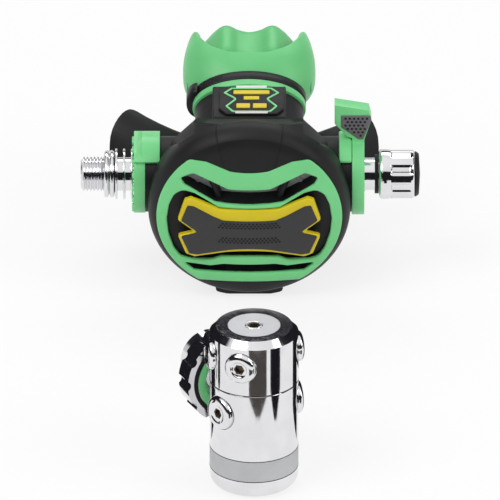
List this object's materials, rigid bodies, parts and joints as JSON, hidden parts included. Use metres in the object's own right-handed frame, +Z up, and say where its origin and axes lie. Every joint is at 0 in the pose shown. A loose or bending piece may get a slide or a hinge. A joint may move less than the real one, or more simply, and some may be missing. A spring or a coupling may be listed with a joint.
{
  "type": "scuba regulator set",
  "caption": "Breathing regulator in two stages: a round demand valve with purge button, mouthpiece and exhaust, and a cylindrical valve with swivel turret.",
  "frame": {"origin": "centre of the first stage's base, on the surface that both stages rest on", "axes": "+Z up along the first stage, +Y from the front of the cover towards the mouthpiece, +X towards the second stage's adjustment knob"},
  "size_m": [0.139, 0.283, 0.0831],
  "materials": {
    "black_shell": "fine grained matt moulding",
    "green_trim": "satin moulding",
    "yellow_trim": "satin moulding",
    "black_button": "matt, dimpled",
    "dark_rubber": "matt",
    "green_silicone": "soft satin",
    "clear_silicone": "soft satin",
    "chrome": "polished plating",
    "satin_chrome": "satin plating",
    "spring_steel": "drawn wire",
    "white_plastic": "turned plastic",
    "bronze_filter": "sintered"
  },
  "bodies": {
    "root": {"second_stage_case": "black_shell", "badge_plate": "black_shell", "exhaust_valve": "clear_silicone", "exhaust_tee": "black_shell", "front_bezel": "black_shell", "cover_insert": "green_trim", "purge_spring": "spring_steel", "diaphragm": "clear_silicone", "valve_barrel": "satin_chrome", "inlet_orifice": "chrome", "valve_spring": "spring_steel", "inlet_connector": "chrome", "inlet_oring": "dark_rubber", "inlet_collar": "green_trim", "lever_collar": "green_trim", "knob_sleeve": "chrome", "knob_oring": "dark_rubber", "mouthpiece": "green_silicone", "mouthpiece_clip": "black_shell", "end_cap": "chrome", "environment_diaphragm": "dark_rubber", "clamp_ring": "satin_chrome", "spring_adjuster": "satin_chrome", "main_spring": "spring_steel", "main_diaphragm": "dark_rubber", "main_body": "chrome", "high_seat": "satin_chrome", "high_valve_spring": "spring_steel", "balance_plug": "white_plastic", "turret_bolt": "satin_chrome", "turret_seal": "dark_rubber", "high_plugs": "chrome", "high_plug_orings": "dark_rubber", "din_stem": "chrome", "din_oring": "dark_rubber", "inlet_filter": "bronze_filter"},
    "purge": {"purge_button": "black_button", "purge_trim": "yellow_trim"},
    "diaphragm_centre": {"diaphragm_plate": "white_plastic"},
    "lever": {"demand_lever": "satin_chrome"},
    "spindle": {"valve_spindle": "satin_chrome", "spindle_nut": "satin_chrome", "poppet_seat": "dark_rubber"},
    "venturi": {"venturi_lever": "green_trim", "venturi_grip": "black_button", "venturi_vane": "white_plastic"},
    "knob": {"adjust_knob": "chrome", "knob_cap": "black_shell"},
    "screw": {"adjust_screw": "satin_chrome"},
    "turret": {"turret": "chrome", "low_plugs": "chrome", "low_plug_orings": "dark_rubber"},
    "handwheel": {"din_bolt": "chrome", "handwheel": "chrome", "handwheel_insert": "green_trim"},
    "valve_train": {"high_valve": "white_plastic", "valve_lifter": "satin_chrome", "spring_carrier": "satin_chrome", "pressure_transmitter": "white_plastic"}
  },
  "joints": [
    {"name": "purge_press", "type": "slide", "parent": "root", "child": "purge", "axis": [0, 0.9833, 0.1822], "range_m": [0, 0.003], "stiffness_N_per_m": 400, "springref_m": -0.003, "deforming": ["purge_spring", "diaphragm"]},
    {"name": "diaphragm_travel", "type": "slide", "parent": "root", "child": "diaphragm_centre", "axis": [0, 0.9833, 0.1822], "range_m": [0, 0.003]},
    {"name": "lever_swing", "type": "hinge", "parent": "root", "child": "lever", "pos_m": [0.0111, 0.17739, 0.04728], "axis": [0, 0.1822, -0.9833], "range_deg": [0, 10.8]},
    {"name": "spindle_slide", "type": "slide", "parent": "root", "child": "spindle", "axis": [1, 0, 0], "range_m": [0, 0.00076], "deforming": ["valve_spring"]},
    {"name": "venturi_swing", "type": "hinge", "parent": "root", "child": "venturi", "pos_m": [0.0401, 0.1829, 0.0483], "axis": [-1, 0, 0], "range_deg": [0, 60]},
    {"name": "knob_turn", "type": "hinge", "parent": "root", "child": "knob", "pos_m": [0.0512, 0.1829, 0.0483], "axis": [-1, 0, 0], "range_deg": [0, 1080]},
    {"name": "screw_advance", "type": "slide", "parent": "root", "child": "screw", "axis": [-1, 0, 0], "range_m": [0, 0.00151]},
    {"name": "turret_swivel", "type": "hinge", "parent": "root", "child": "turret", "pos_m": [0, 0, 0.0585], "axis": [0, 0, 1], "continuous": true},
    {"name": "handwheel_turn", "type": "hinge", "parent": "root", "child": "handwheel", "pos_m": [0, 0, 0.0368], "axis": [-0.4384, 0.8988, 0], "continuous": true},
    {"name": "valve_lift", "type": "slide", "parent": "root", "child": "valve_train", "axis": [0, 0, -1], "range_m": [0, 0.0008], "stiffness_N_per_m": 800, "springref_m": -0.004, "deforming": ["main_spring", "high_valve_spring", "main_diaphragm", "environment_diaphragm"]}
  ],
  "couplings": [
    {"joint": "diaphragm_travel", "follows": "purge_press", "ratio": 1},
    {"joint": "lever_swing", "follows": "purge_press", "rad_per_m": 62.5},
    {"joint": "spindle_slide", "follows": "purge_press", "ratio": 0.25},
    {"joint": "screw_advance", "follows": "knob_turn", "m_per_rad": 0.000079577}
  ]
}
